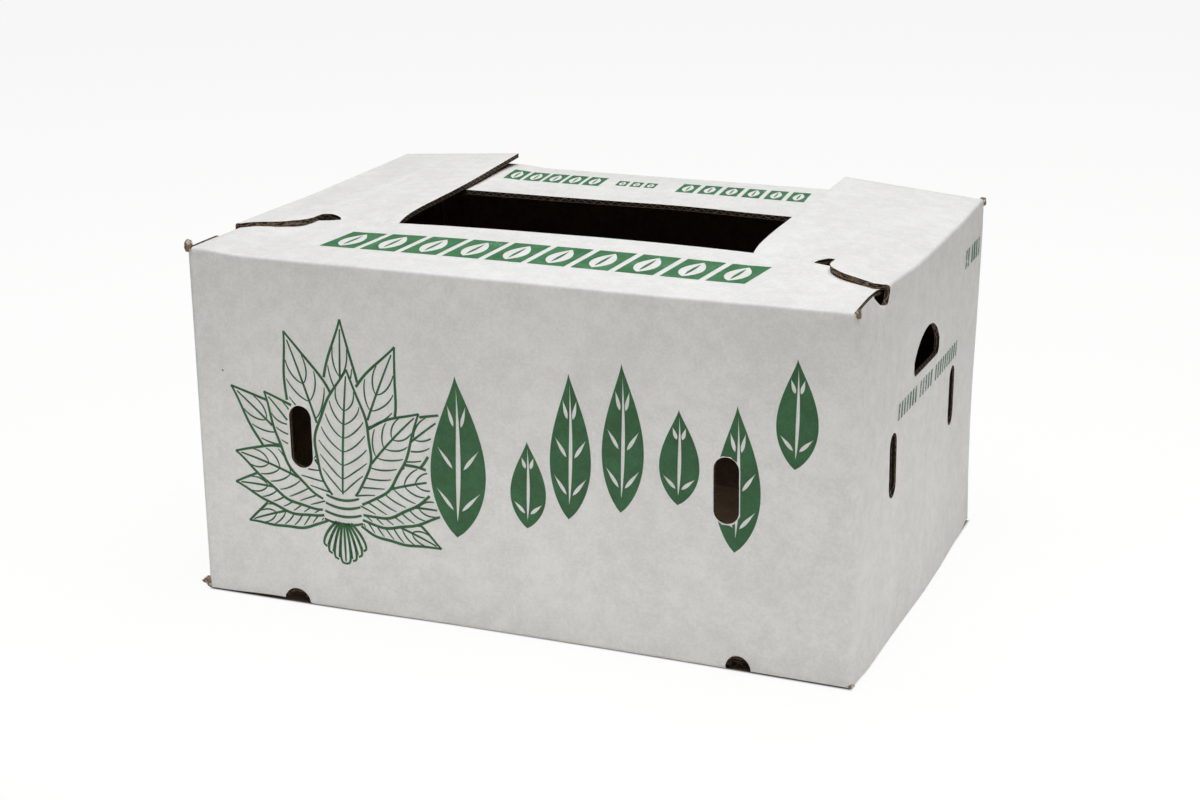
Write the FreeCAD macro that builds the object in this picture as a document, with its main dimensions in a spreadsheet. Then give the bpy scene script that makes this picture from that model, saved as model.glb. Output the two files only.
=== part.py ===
# Produce box folded from one sheet of corrugated board, with an open middle on top.
#
# Frame: X runs along the long walls, -Y is the front, +Z is up, and the origin is
# the middle of the bottom. The long walls fold over into the front and back flaps,
# the short walls into the side flaps. At the two front corners a side flap lies on
# the front flap near the wall and dips under it further in, so the pair stays shut.
import FreeCAD, Part
import Sketcher
import math
import os

Vector = FreeCAD.Vector

doc = FreeCAD.newDocument("produce_box")
sheet = doc.addObject("Spreadsheet::Sheet", "Sizes")
sheet.Label = "Sizes"

# Driving sizes in millimetres
SIZES = {
    # The folded box and its board
    "box_length": 560.0,
    "box_width": 384.0,
    "box_height": 293.0,
    "board": 4.0,
    "fold_radius": 5.0,
    "fold_step": 4.4,
    "play": 0.6,
    "running_gap": 0.3,
    # Top flaps, their depth measured from the wall's outer face
    "long_flap_depth": 121.0,
    "side_flap_depth": 121.0,
    "front_lift": 8.5,
    "front_lift_run": 74.0,
    "back_lift": 8.0,
    "back_lift_run": 95.0,
    "right_lift": 16.0,
    "left_lift": 15.5,
    # Corner lock: where the side flap starts, its notch, and the tab under the front flap
    "lock_start": 77.0,
    "lip_width": 53.0,
    "lip_reach": 119.0,
    "notch_width": 17.0,
    "notch_end": 134.5,
    "tab_front": 86.0,
    "tab_corner": 11.0,
    "tab_dip": 17.0,
    "dip_fade": 15.0,
    "bow_start": 45.0,
    "bow_share": 0.55,
    # Bottom flaps
    "bottom_side_depth": 186.0,
    "bottom_rise_run": 80.0,
    "bottom_seam": 0.8,
    # Free lower edge of the long walls, beyond the foot vents
    "foot_gap": 2.5,
    # Vents, given from the middle of their wall
    "vent_height": 146.0,
    "vent_length": 52.0,
    "vent_width": 20.0,
    "long_vent_offset": 180.5,
    "side_vent_offset": 95.0,
    "foot_vent_offset": 191.0,
    "foot_vent_radius": 11.0,
    "foot_vent_height": 2.5,
    # Hand holes in the side walls: their flat lower edge is this far under the box's top
    "hand_drop": 93.5,
    "hand_width": 78.0,
    "hand_shoulder": 12.5,
    "hand_height": 33.5,
    "hand_corner": 6.0,
    # Relief cut at the front end of each side fold, measured from the front
    "relief_front": 45.0,
    "relief_tip": 64.5,
    "relief_depth": 10.0,
    "relief_front_radius": 22.0,
    "relief_back_radius": 16.0,
    # Glued joint inside the back left corner
    "glue_lap_width": 36.0,
    "glue_lap_bottom": 14.0,
    "glue_lap_margin": 8.0,
}
for row, (alias, value) in enumerate(SIZES.items(), start=1):
    sheet.set("A%d" % row, alias)
    sheet.set("B%d" % row, str(value))
    sheet.setAlias("B%d" % row, alias)
doc.recompute()


class Size:
    """A length that knows its value and the sheet expression that gives it."""

    def __init__(self, value, text):
        self.value = value
        self.text = text

    def joined(self, other, sign, swap=False):
        other = other if isinstance(other, Size) else Size(float(other), repr(float(other)))
        first, second = (other, self) if swap else (self, other)
        values = {"+": lambda: first.value + second.value,
                  "-": lambda: first.value - second.value,
                  "*": lambda: first.value * second.value,
                  "/": lambda: first.value / second.value}
        return Size(values[sign](), "(%s %s %s)" % (first.text, sign, second.text))

    def __add__(self, other):
        return self.joined(other, "+")

    def __sub__(self, other):
        return self.joined(other, "-")

    def __mul__(self, other):
        return self.joined(other, "*")

    def __truediv__(self, other):
        return self.joined(other, "/")

    def __rmul__(self, other):
        return self.joined(other, "*", swap=True)

    def __rsub__(self, other):
        return self.joined(other, "-", swap=True)

    def __neg__(self):
        return 0 - self


def size(alias):
    """A value of the sheet, to be used in sketches and placements."""
    return Size(float(sheet.get(alias)), "Sizes." + alias)


ground = Size(0.0, "0 mm")
half_length = size("box_length") / 2
half_width = size("box_width") / 2
top = size("box_height")
board = size("board")
fold = size("fold_radius")
inner_fold = fold - board
play = size("play")
long_fold_top = top - size("fold_step")
# The long flaps end just inside the side walls
flap_half_length = half_length - board - play
side_fold_front = size("lock_start") - half_width
side_fold_back = half_width - board - play


def bind(thing, prop, length):
    """Set a property and bind it to the sheet."""
    thing.setExpression(prop, length.text)


# Sketches

def body_plane(body, role):
    """One of the origin planes of a body."""
    return [plane for plane in body.Origin.OriginFeatures if plane.Role == role][0]


def new_sketch(body, role, name, offset=None):
    """A sketch on an origin plane of its body, moved along the plane's normal by offset."""
    sketch = body.newObject("Sketcher::SketchObject", name)
    sketch.AttachmentSupport = [(body_plane(body, role), "")]
    sketch.MapMode = "FlatFace"
    if offset is not None:
        bind(sketch, "AttachmentOffset.Base.z", offset)
    return sketch


def hold(sketch, kind, *where, length):
    """A dimension of a sketch, bound to the sheet."""
    number = sketch.addConstraint(Sketcher.Constraint(kind, *where, length.value))
    sketch.setExpression("Constraints[%d]" % number, length.text)


def arc_through(start, end, radius):
    """The arc from start to end that bulges to the right of the way there, or left if negative."""
    chord = end - start
    half = chord.Length / 2
    across = Vector(chord.y, -chord.x, 0).normalize()
    sagitta = abs(radius) - math.sqrt(radius * radius - half * half)
    middle = (start + end) / 2 + across * math.copysign(sagitta, radius)
    return Part.Arc(start, middle, end)


def add_outline(sketch, corners, arcs=None):
    """A closed loop through (x, z) corners. arcs gives the radius of the side after a corner."""
    arcs = arcs or {}
    points = [Vector(across.value, up.value, 0) for across, up in corners]
    sides = []
    for index, start in enumerate(points):
        end = points[(index + 1) % len(points)]
        if index in arcs:
            radius, side = arcs[index]
            shape = arc_through(start, end, math.copysign(radius.value, side))
        else:
            shape = Part.LineSegment(start, end)
        sides.append(sketch.addGeometry(shape, False))
    starts = [vertex_at(sketch, side, point) for side, point in zip(sides, points)]
    for index, side in enumerate(sides):
        following = (index + 1) % len(sides)
        finish = 3 - starts[index]
        sketch.addConstraint(Sketcher.Constraint(
            "Coincident", side, finish, sides[following], starts[following]))
    for index, (across, up) in enumerate(corners):
        hold(sketch, "DistanceX", -1, 1, sides[index], starts[index], length=across)
        hold(sketch, "DistanceY", -1, 1, sides[index], starts[index], length=up)
        if index in arcs:
            hold(sketch, "Radius", sides[index], length=arcs[index][0])


def vertex_at(sketch, side, point):
    """1 where the side starts at the point and 2 where it ends there."""
    at_start = (sketch.getPoint(side, 1) - point).Length
    at_end = (sketch.getPoint(side, 2) - point).Length
    return 1 if at_start < at_end else 2


def rounded_rectangle(sketch, half_x, half_y, radius):
    """A rectangle about the middle with its corners rounded."""
    left, right = -half_x, half_x
    low, high = -half_y, half_y
    corners = [(left + radius, low), (right - radius, low), (right, low + radius),
               (right, high - radius), (right - radius, high), (left + radius, high),
               (left, high - radius), (left, low + radius)]
    add_outline(sketch, corners, {side: (radius, 1) for side in (1, 3, 5, 7)})


def upright_slot(sketch, across, low, high, radius):
    """A slot with round ends. low and high are the heights of the ends' centres."""
    ends = []
    for centre_up, turn in ((low, math.pi), (high, 0.0)):
        circle = Part.Circle(Vector(across.value, centre_up.value, 0), Vector(0, 0, 1), radius.value)
        arc = sketch.addGeometry(Part.ArcOfCircle(circle, turn, turn + math.pi), False)
        hold(sketch, "DistanceX", -1, 1, arc, 3, length=across)
        hold(sketch, "DistanceY", -1, 1, arc, 3, length=centre_up)
        hold(sketch, "Radius", arc, length=radius)
        sketch.addConstraint(Sketcher.Constraint("Horizontal", arc, 1, arc, 3))
        sketch.addConstraint(Sketcher.Constraint("Horizontal", arc, 2, arc, 3))
        ends.append(arc)
    for first, second in ((ends[0], ends[1]), (ends[1], ends[0])):
        line = Part.LineSegment(sketch.getPoint(first, 2), sketch.getPoint(second, 1))
        side = sketch.addGeometry(line, False)
        sketch.addConstraint(Sketcher.Constraint("Coincident", side, 1, first, 2))
        sketch.addConstraint(Sketcher.Constraint("Coincident", side, 2, second, 1))


def pad(body, sketch, name, length, symmetric=False):
    """Extrude a sketch by a bound length."""
    feature = body.newObject("PartDesign::Pad", name)
    feature.Profile = sketch
    feature.SideType = "Symmetric" if symmetric else "One side"
    bind(feature, "Length", length)
    return feature


def pocket(body, sketch, name, length):
    """Cut a sketch through both of a pair of facing walls."""
    feature = body.newObject("PartDesign::Pocket", name)
    feature.Profile = sketch
    feature.SideType = "Symmetric"
    bind(feature, "Length", length)
    return feature


def new_body(name, label):
    body = doc.addObject("PartDesign::Body", name)
    body.Label = label
    return body


# The four walls

def make_walls():
    """The upright sleeve, with its vents, hand holes and the cuts between its flaps."""
    body = new_body("Walls", "walls")
    plan = new_sketch(body, "XY_Plane", "WallPlan", size("foot_gap"))
    rounded_rectangle(plan, half_length, half_width, fold)
    rounded_rectangle(plan, half_length - board, half_width - board, inner_fold)
    side_wall_top = top - fold
    pad(body, plan, "WallSleeve", side_wall_top - size("foot_gap"))

    through_width = size("box_width") * 2
    through_length = size("box_length") * 2
    cut_walls_to_folds(body, through_width, through_length)

    slot_reach = size("vent_length") / 2 - size("vent_width") / 2
    low = size("vent_height") - slot_reach
    high = size("vent_height") + slot_reach
    for role, offset, name, depth in (
            ("XZ_Plane", size("long_vent_offset"), "LongWallVents", through_width),
            ("YZ_Plane", size("side_vent_offset"), "SideWallVents", through_length)):
        vents = new_sketch(body, role, name + "Outline")
        for across in (-offset, offset):
            upright_slot(vents, across, low, high, size("vent_width") / 2)
        pocket(body, vents, name, depth)

    hand = new_sketch(body, "YZ_Plane", "HandHoleOutline")
    hand_hole(hand)
    pocket(body, hand, "HandHoles", through_length)

    relief = new_sketch(body, "YZ_Plane", "FoldReliefOutline")
    fold_relief(relief, side_wall_top)
    pocket(body, relief, "FoldReliefs", through_length)
    return body


def cut_walls_to_folds(body, through_width, through_length):
    """End the walls where their folds begin, at the top of the long walls and at the bottom."""
    above = top + fold
    trim = new_sketch(body, "XZ_Plane", "LongFoldHeightOutline")
    long_wall_top = long_fold_top - fold
    add_outline(trim, [(-flap_half_length, long_wall_top), (flap_half_length, long_wall_top),
                       (flap_half_length, above), (-flap_half_length, above)])
    pocket(body, trim, "LongFoldHeight", through_width)

    for role, half, name, depth in (
            ("XZ_Plane", size("foot_vent_offset"), "LongBottomFoldStart", through_width),
            ("YZ_Plane", half_width - fold, "SideBottomFoldStart", through_length)):
        start = new_sketch(body, role, name + "Outline")
        add_outline(start, [(-half, -fold), (half, -fold), (half, fold), (-half, fold)])
        pocket(body, start, name, depth)


def hand_hole(sketch):
    """Flat below, arched above, with two rounded lower corners."""
    half = size("hand_width") / 2
    corner = size("hand_corner")
    low = top - size("hand_drop")
    shoulder = low + size("hand_shoulder")
    rise = size("hand_height") - size("hand_shoulder")
    arch = (half * half + rise * rise) / (2 * rise)
    corners = [(corner - half, low), (half - corner, low), (half, low + corner),
               (half, shoulder), (-half, shoulder), (-half, low + corner)]
    add_outline(sketch, corners, {1: (corner, 1), 3: (arch, 1), 5: (corner, 1)})


def fold_relief(sketch, side_wall_top):
    """The leaf-shaped cut that frees the front end of a side fold."""
    front = size("relief_front") - half_width
    tip = size("relief_tip") - half_width
    above = side_wall_top + fold
    low = side_wall_top - size("relief_depth")
    corners = [(front, above), (front, side_wall_top), (tip, low),
               (side_fold_front, side_wall_top), (side_fold_front, above)]
    add_outline(sketch, corners, {1: (size("relief_front_radius"), 1),
                                  2: (size("relief_back_radius"), 1)})


# Bottom flaps

def make_bottom_front_flap():
    """The outer bottom flap, from the front wall's bottom fold to the middle seam."""
    body = new_body("BottomFrontFlap", "bottom_front_flap")
    profile = new_sketch(body, "YZ_Plane", "BottomFrontProfile")
    outer, inner = -half_width, board - half_width
    seam = -size("bottom_seam") / 2
    corners = [(outer, fold), (outer + fold, ground), (seam, ground), (seam, board),
               (outer + fold, board), (inner, fold)]
    add_outline(profile, corners, {0: (fold, 1), 4: (inner_fold, -1)})
    pad(body, profile, "BottomFrontSheet", size("foot_vent_offset") * 2, symmetric=True)
    return body


def make_bottom_right_flap():
    """The inner bottom flap of the right wall, which rises to lie on the outer flaps."""
    body = new_body("BottomRightFlap", "bottom_right_flap")
    profile = new_sketch(body, "XZ_Plane", "BottomRightProfile")
    outer, inner = half_length, half_length - board
    lift = board + size("running_gap")
    level = half_length - size("bottom_rise_run")
    free = half_length - size("bottom_side_depth")
    corners = [(outer, fold), (inner, fold), (outer - fold, board), (level, lift + board),
               (free, lift + board), (free, lift), (level, lift), (outer - fold, ground)]
    add_outline(profile, corners, {1: (inner_fold, 1), 7: (fold, 1)})
    pad(body, profile, "BottomRightSheet", (half_width - fold - play) * 2, symmetric=True)
    return body


def mirrored(source, name, label, normal):
    """The same flap on the facing wall."""
    copy = doc.addObject("Part::Mirroring", name)
    copy.Source = source
    copy.Normal = normal
    copy.Label = label
    return copy


# Top folds and flaps

def quarter_fold(name, label, start, length, height, turn):
    """A quarter of a tube of board, the bend between a wall and its top flap.

    turn sets the tube's own axes: out of the wall, up, and along the fold from its start.
    """
    rings = []
    for part_name, radius in (("Outside", fold), ("Inside", inner_fold)):
        rod = doc.addObject("Part::Cylinder", name + part_name)
        rod.Label = label + "_" + part_name.lower()
        rod.Angle = 90
        bind(rod, "Radius", radius)
        bind(rod, "Height", length)
        rod.Placement = FreeCAD.Placement(Vector(0, 0, 0), turn)
        bind(rod, "Placement.Base.x", start[0])
        bind(rod, "Placement.Base.y", start[1])
        bind(rod, "Placement.Base.z", height)
        rings.append(rod)
    bend = doc.addObject("Part::Cut", name)
    bend.Label = label
    bend.Base = rings[0]
    bend.Tool = rings[1]
    return bend


def make_top_folds():
    """The four bends between the walls and the top flaps."""
    up = Vector(0, 0, 1)
    left, right = Vector(-1, 0, 0), Vector(1, 0, 0)
    front, back = Vector(0, -1, 0), Vector(0, 1, 0)
    long_height = long_fold_top - fold
    side_height = top - fold
    long_run = flap_half_length * 2
    side_run = side_fold_back - side_fold_front
    wall_x, wall_y = half_length - fold, half_width - fold
    return [
        quarter_fold("FrontFold", "front_fold", (flap_half_length, -wall_y), long_run,
                     long_height, FreeCAD.Rotation(front, up, left, "ZXY")),
        quarter_fold("BackFold", "back_fold", (-flap_half_length, wall_y), long_run,
                     long_height, FreeCAD.Rotation(back, up, right, "ZXY")),
        quarter_fold("RightFold", "right_fold", (wall_x, side_fold_back), side_run,
                     side_height, FreeCAD.Rotation(right, up, front, "ZXY")),
        quarter_fold("LeftFold", "left_fold", (-wall_x, side_fold_front), side_run,
                     side_height, FreeCAD.Rotation(left, up, back, "ZXY")),
    ]


def long_flap(name, label, side, lift, run):
    """The front or back top flap: pinned down along the side walls, free to rise between."""
    fold_edge = (half_width.value - fold.value) * side
    free_edge = (half_width.value - size("long_flap_depth").value) * side
    low = long_fold_top.value
    end = flap_half_length.value
    sections = []
    for x, rise in ((-end, 0), (run - end, lift), (end - run, lift), (end, 0)):
        corners = [Vector(x, fold_edge, low), Vector(x, free_edge, low + rise),
                   Vector(x, free_edge, low + rise - board.value),
                   Vector(x, fold_edge, low - board.value)]
        sections.append(Part.makePolygon(corners + corners[:1]))
    flap = doc.addObject("Part::Feature", name)
    flap.Label = label
    flap.Shape = Part.makeLoft(sections, True, True)
    return flap


def smooth_step(share):
    """0 before 0, 1 after 1 and an easy curve between."""
    share = min(1.0, max(0.0, share))
    return share * share * (3 - 2 * share)


def side_flap_height(inward, from_front, lift):
    """Height of a side flap's upper face.

    The flap springs up from its fold. Its tab dips under the front flap: a kink across the
    notch that fades quickly behind it, and a bow that fades over the whole flap.
    """
    free_edge = size("side_flap_depth").value
    front_edge = size("long_flap_depth").value
    width = size("box_width").value
    bow_start = size("bow_start").value
    spring = lift * (inward - fold.value) / (free_edge - fold.value)
    kink = smooth_step((inward - size("lip_width").value) / size("notch_width").value)
    bow = max(0.0, inward - bow_start) / (free_edge - bow_start)
    behind = (from_front - front_edge) / size("dip_fade").value
    under_front = 0.3
    if behind >= 0:
        kink *= math.exp(-behind)
    else:
        kink *= 1 + under_front * (1 - math.exp(behind / under_front))
    bow *= (width - from_front) / (width - front_edge)
    share = size("bow_share").value
    return top.value + spring - size("tab_dip").value * (share * bow + (1 - share) * kink)


def side_flap_outline():
    """The cut edge of a side flap, as (inward, from the front) points joined in a wire."""
    fold_edge = fold.value
    free_edge = size("side_flap_depth").value
    start = size("lock_start").value
    lip = size("lip_width").value
    reach = size("lip_reach").value
    notch = size("notch_width").value
    tab = size("tab_front").value
    corner = size("tab_corner").value
    back = size("box_width").value - board.value - play.value
    notch_side = size("notch_end").value - notch / 2
    tab_side = lip + notch
    # The lip's edge leaves the fold almost square to it, then turns back to the notch
    lip_edge = Part.BSplineCurve()
    lip_edge.interpolate([Vector(fold_edge, start, 0),
                          Vector(0.42 * lip, start + 0.21 * (reach - start), 0),
                          Vector(0.74 * lip, start + 0.36 * (reach - start), 0),
                          Vector(0.92 * lip, start + 0.58 * (reach - start), 0),
                          Vector(lip, reach, 0)])
    tab_start = Vector(tab_side, notch_side, 0)
    tab_root = Vector(tab_side + notch / 8, tab + corner, 0)
    tab_nose = Vector(tab_side + corner, tab, 0)
    tab_bulge = Vector(tab_side + corner * 0.36, tab + corner * 0.27, 0)
    lines = [(Vector(lip, reach, 0), Vector(lip, notch_side, 0)), (tab_start, tab_root),
             (tab_nose, Vector(free_edge, tab, 0)),
             (Vector(free_edge, tab, 0), Vector(free_edge, back, 0)),
             (Vector(free_edge, back, 0), Vector(fold_edge, back, 0)),
             (Vector(fold_edge, back, 0), Vector(fold_edge, start, 0))]
    edges = [lip_edge.toShape()]
    edges += [Part.LineSegment(first, second).toShape() for first, second in lines]
    notch_top = Vector(lip + notch / 2, size("notch_end").value, 0)
    edges.append(Part.Arc(Vector(lip, notch_side, 0), notch_top, tab_start).toShape())
    edges.append(Part.Arc(tab_root, tab_bulge, tab_nose).toShape())
    return Part.Wire(Part.__sortEdges__(edges))


def side_flap_strip(outer, inner, rows, lift):
    """The sheet between two lines that run along the flap, each at its own distance inward."""
    lines = []
    for inward in (outer, inner):
        line = Part.BSplineCurve()
        line.interpolate([Vector(inward, row, side_flap_height(inward, row, lift)) for row in rows])
        lines.append(line.toShape())
    upper = Part.makeRuledSurface(*lines)
    return upper.extrude(Vector(0, 0, -board.value))


def side_flap(name, label, side, lift):
    """A side top flap: one bent sheet, cut to the outline of the corner lock."""
    lip = size("lip_width").value
    run = size("notch_width").value
    width = size("box_width").value
    # The sheet bends across its width between the lip and the tab, and is flat beside them
    bends = [fold.value, size("bow_start").value, lip, lip + run / 3, lip + run * 2 / 3,
             lip + run, size("side_flap_depth").value]
    # Rows are close where the dip fades quickly, and wider towards the back
    first = size("lock_start").value - board.value
    rows = [first + (width - first) * (j / 14) ** 1.6 for j in range(15)]
    strips = [side_flap_strip(outer, inner, rows, lift) for outer, inner in zip(bends, bends[1:])]
    bent = strips[0].fuse(strips[1:])
    cutter = Part.Face(side_flap_outline()).extrude(Vector(0, 0, top.value * 2))
    shape = bent.common(cutter).Solids[0]
    # From the wall's corner to the frame: inward becomes X, from the front becomes Y
    shape.translate(Vector(-half_length.value, -half_width.value, 0))
    if side > 0:
        shape = shape.mirror(Vector(0, 0, 0), Vector(1, 0, 0))
    flap = doc.addObject("Part::Feature", name)
    flap.Label = label
    flap.Shape = shape
    return flap


# Joint and foot vents

def make_glue_lap():
    """The strip that closes the sleeve, glued inside the back wall."""
    long_wall_top = long_fold_top - fold
    lap_top = long_wall_top - size("glue_lap_margin")
    lap = doc.addObject("Part::Box", "GlueLap")
    lap.Label = "glue_lap"
    bind(lap, "Length", size("glue_lap_width"))
    bind(lap, "Width", board)
    bind(lap, "Height", lap_top - size("glue_lap_bottom"))
    bind(lap, "Placement.Base.x", board - half_length)
    bind(lap, "Placement.Base.y", half_width - board * 2)
    bind(lap, "Placement.Base.z", size("glue_lap_bottom"))
    return lap


def make_foot_vents():
    """Four round cuts across the bottom folds of the long walls."""
    turn = FreeCAD.Rotation(Vector(1, 0, 0), -90)
    vents = []
    for across, x in (("Left", -size("foot_vent_offset")), ("Right", size("foot_vent_offset"))):
        for along, y in (("Front", -half_width - board), ("Back", half_width - fold * 2)):
            vent = doc.addObject("Part::Cylinder", "FootVent" + across + along)
            vent.Label = ("foot_vent_%s_%s" % (across, along)).lower()
            vent.Placement = FreeCAD.Placement(Vector(0, 0, 0), turn)
            bind(vent, "Radius", size("foot_vent_radius"))
            bind(vent, "Height", fold * 2 + board)
            bind(vent, "Placement.Base.x", x)
            bind(vent, "Placement.Base.y", y)
            bind(vent, "Placement.Base.z", size("foot_vent_height"))
            vents.append(vent)
    return vents


# The whole sheet

def make_box():
    """Join the walls, bends and flaps into the one folded sheet."""
    bottom_front = make_bottom_front_flap()
    bottom_right = make_bottom_right_flap()
    sheets = [make_walls(), bottom_front, bottom_right, make_glue_lap()]
    sheets.append(mirrored(bottom_front, "BottomBackFlap", "bottom_back_flap", Vector(0, 1, 0)))
    sheets.append(mirrored(bottom_right, "BottomLeftFlap", "bottom_left_flap", Vector(1, 0, 0)))
    sheets += make_top_folds()
    sheets.append(long_flap("FrontFlap", "front_flap", -1, size("front_lift").value,
                            size("front_lift_run").value))
    sheets.append(long_flap("BackFlap", "back_flap", 1, size("back_lift").value,
                            size("back_lift_run").value))
    sheets.append(side_flap("RightFlap", "right_flap", 1, size("right_lift").value))
    sheets.append(side_flap("LeftFlap", "left_flap", -1, size("left_lift").value))
    joined = doc.addObject("Part::MultiFuse", "JoinedSheet")
    joined.Label = "joined_sheet"
    joined.Shapes = sheets
    holes = doc.addObject("Part::MultiFuse", "FootVents")
    holes.Label = "foot_vents"
    holes.Shapes = make_foot_vents()
    box = doc.addObject("Part::Cut", "FoldedBox")
    box.Label = "folded_box"
    box.Base = joined
    box.Tool = holes
    return box


def check_document():
    """Stop if any feature of the document failed."""
    for thing in doc.Objects:
        states = [state for state in thing.State if state in ("Invalid", "Error")]
        if states:
            raise RuntimeError("%s is %s" % (thing.Label, states))


box = make_box()
doc.recompute()
check_document()
parts = [box]
for part in parts:
    shape = part.Shape
    if shape.isNull() or not shape.isValid():
        raise RuntimeError(part.Label + " has no valid shape")
    if len(shape.Solids) != 1:
        raise RuntimeError("%s is %d solids" % (part.Label, len(shape.Solids)))

os.makedirs("parts", exist_ok=True)
for part in parts:
    part.Shape.exportStep("parts/%s.step" % part.Label)
    bounds = part.Shape.BoundBox
    print(part.Label, "volume", round(part.Shape.Volume), "faces", len(part.Shape.Faces),
          "box", [round(v, 2) for v in (bounds.XMin, bounds.YMin, bounds.ZMin,
                                        bounds.XMax, bounds.YMax, bounds.ZMax)])
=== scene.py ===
# A produce box folded from white-faced corrugated board, printed with leaves in green ink.
import math

import bpy
from mathutils import Matrix, Vector, noise


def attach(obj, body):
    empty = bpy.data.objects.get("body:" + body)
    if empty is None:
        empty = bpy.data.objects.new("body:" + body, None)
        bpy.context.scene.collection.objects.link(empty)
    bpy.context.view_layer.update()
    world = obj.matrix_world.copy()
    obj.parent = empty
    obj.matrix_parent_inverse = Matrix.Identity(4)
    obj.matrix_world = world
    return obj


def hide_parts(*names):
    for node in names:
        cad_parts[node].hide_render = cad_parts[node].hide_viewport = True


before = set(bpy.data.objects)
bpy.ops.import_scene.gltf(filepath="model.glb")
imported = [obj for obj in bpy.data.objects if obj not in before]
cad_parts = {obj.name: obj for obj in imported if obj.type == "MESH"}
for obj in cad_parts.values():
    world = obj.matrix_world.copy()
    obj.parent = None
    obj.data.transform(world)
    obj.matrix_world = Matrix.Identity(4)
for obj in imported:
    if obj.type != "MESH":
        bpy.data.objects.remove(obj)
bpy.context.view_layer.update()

MM = 0.001
# The box's outside, its board and the top of its two layers of bottom flaps, in metres
HALF_LENGTH, HALF_WIDTH = 0.280, 0.192
BOARD = 0.004
BOTTOM_TOP = 0.0083
# The tops of the folds of the front and back flaps and of the side flaps, and their bend
LONG_FOLD_TOP, SIDE_FOLD_TOP = 0.2886, 0.293
FOLD_RADIUS = 0.005
FLAP_DEPTH = 0.121
# The front and back flaps reach this far in X, and in Y from the middle to their free edges
LONG_FLAP_END, LONG_FREE_EDGE = 0.2755, 0.0718
SIDE_FREE_EDGE = 0.1575
# Nothing of the top flaps lies lower than this
FLAPS_FROM = 0.262
FLUTE_PITCH = 0.0079
GRID = 0.012
RIM = 0.0006
INK_LIFT = 0.00012
WHITE, KRAFT, CUT_EDGE = 0, 1, 2


# Camera and light

def add_camera():
    """The camera stands to the right of the front and looks down on it."""
    azimuth, elevation, roll = math.radians(22.867), math.radians(17.543), -0.0146
    forward = Vector((-math.sin(azimuth) * math.cos(elevation),
                      math.cos(azimuth) * math.cos(elevation), -math.sin(elevation)))
    level = Vector((math.cos(azimuth), math.sin(azimuth), 0))
    upright = level.cross(forward)
    across = level * math.cos(roll) + upright * math.sin(roll)
    up = upright * math.cos(roll) - level * math.sin(roll)
    lens = bpy.data.cameras.new("camera")
    lens.sensor_width = 36
    lens.lens = 64.05
    camera = bpy.data.objects.new("camera", lens)
    bpy.context.collection.objects.link(camera)
    turn = Matrix((across, up, -forward)).transposed().to_4x4()
    camera.matrix_world = Matrix.Translation((0.6723, -1.5963, 0.6874)) @ turn
    bpy.context.scene.camera = camera


def add_lamp(name, place, target, width, height, power):
    """A soft light that faces its target."""
    lamp = bpy.data.lights.new(name, "AREA")
    lamp.shape = "RECTANGLE"
    lamp.size = width
    lamp.size_y = height
    lamp.energy = power
    holder = bpy.data.objects.new(name, lamp)
    bpy.context.collection.objects.link(holder)
    holder.location = place
    holder.rotation_euler = (Vector(target) - Vector(place)).to_track_quat("-Z", "Y").to_euler()


# Shader helpers

class Value:
    """An output of a material's nodes, used in plain sums."""

    def __init__(self, finish, socket):
        self.finish = finish
        self.socket = socket

    def maths(self, operation, first, second=None):
        inputs = {0: first} if second is None else {0: first, 1: second}
        return self.finish.node("ShaderNodeMath", {"operation": operation}, inputs)

    def __add__(self, other):
        return self.maths("ADD", self, other)

    def __radd__(self, other):
        return self.maths("ADD", other, self)

    def __sub__(self, other):
        return self.maths("SUBTRACT", self, other)

    def __rsub__(self, other):
        return self.maths("SUBTRACT", other, self)

    def __mul__(self, other):
        return self.maths("MULTIPLY", self, other)

    def __rmul__(self, other):
        return self.maths("MULTIPLY", other, self)

    def __truediv__(self, other):
        return self.maths("DIVIDE", self, other)

    def __abs__(self):
        return self.maths("ABSOLUTE", self)

    def sine(self):
        return self.maths("SINE", self)

    def most(self, other):
        return self.maths("MAXIMUM", self, other)

    def between(self, low, high):
        """0 at low, 1 at high and an easy curve between."""
        return self.finish.node("ShaderNodeMapRange", {"interpolation_type": "SMOOTHSTEP"},
                                {"Value": self, "From Min": low, "From Max": high})


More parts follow.
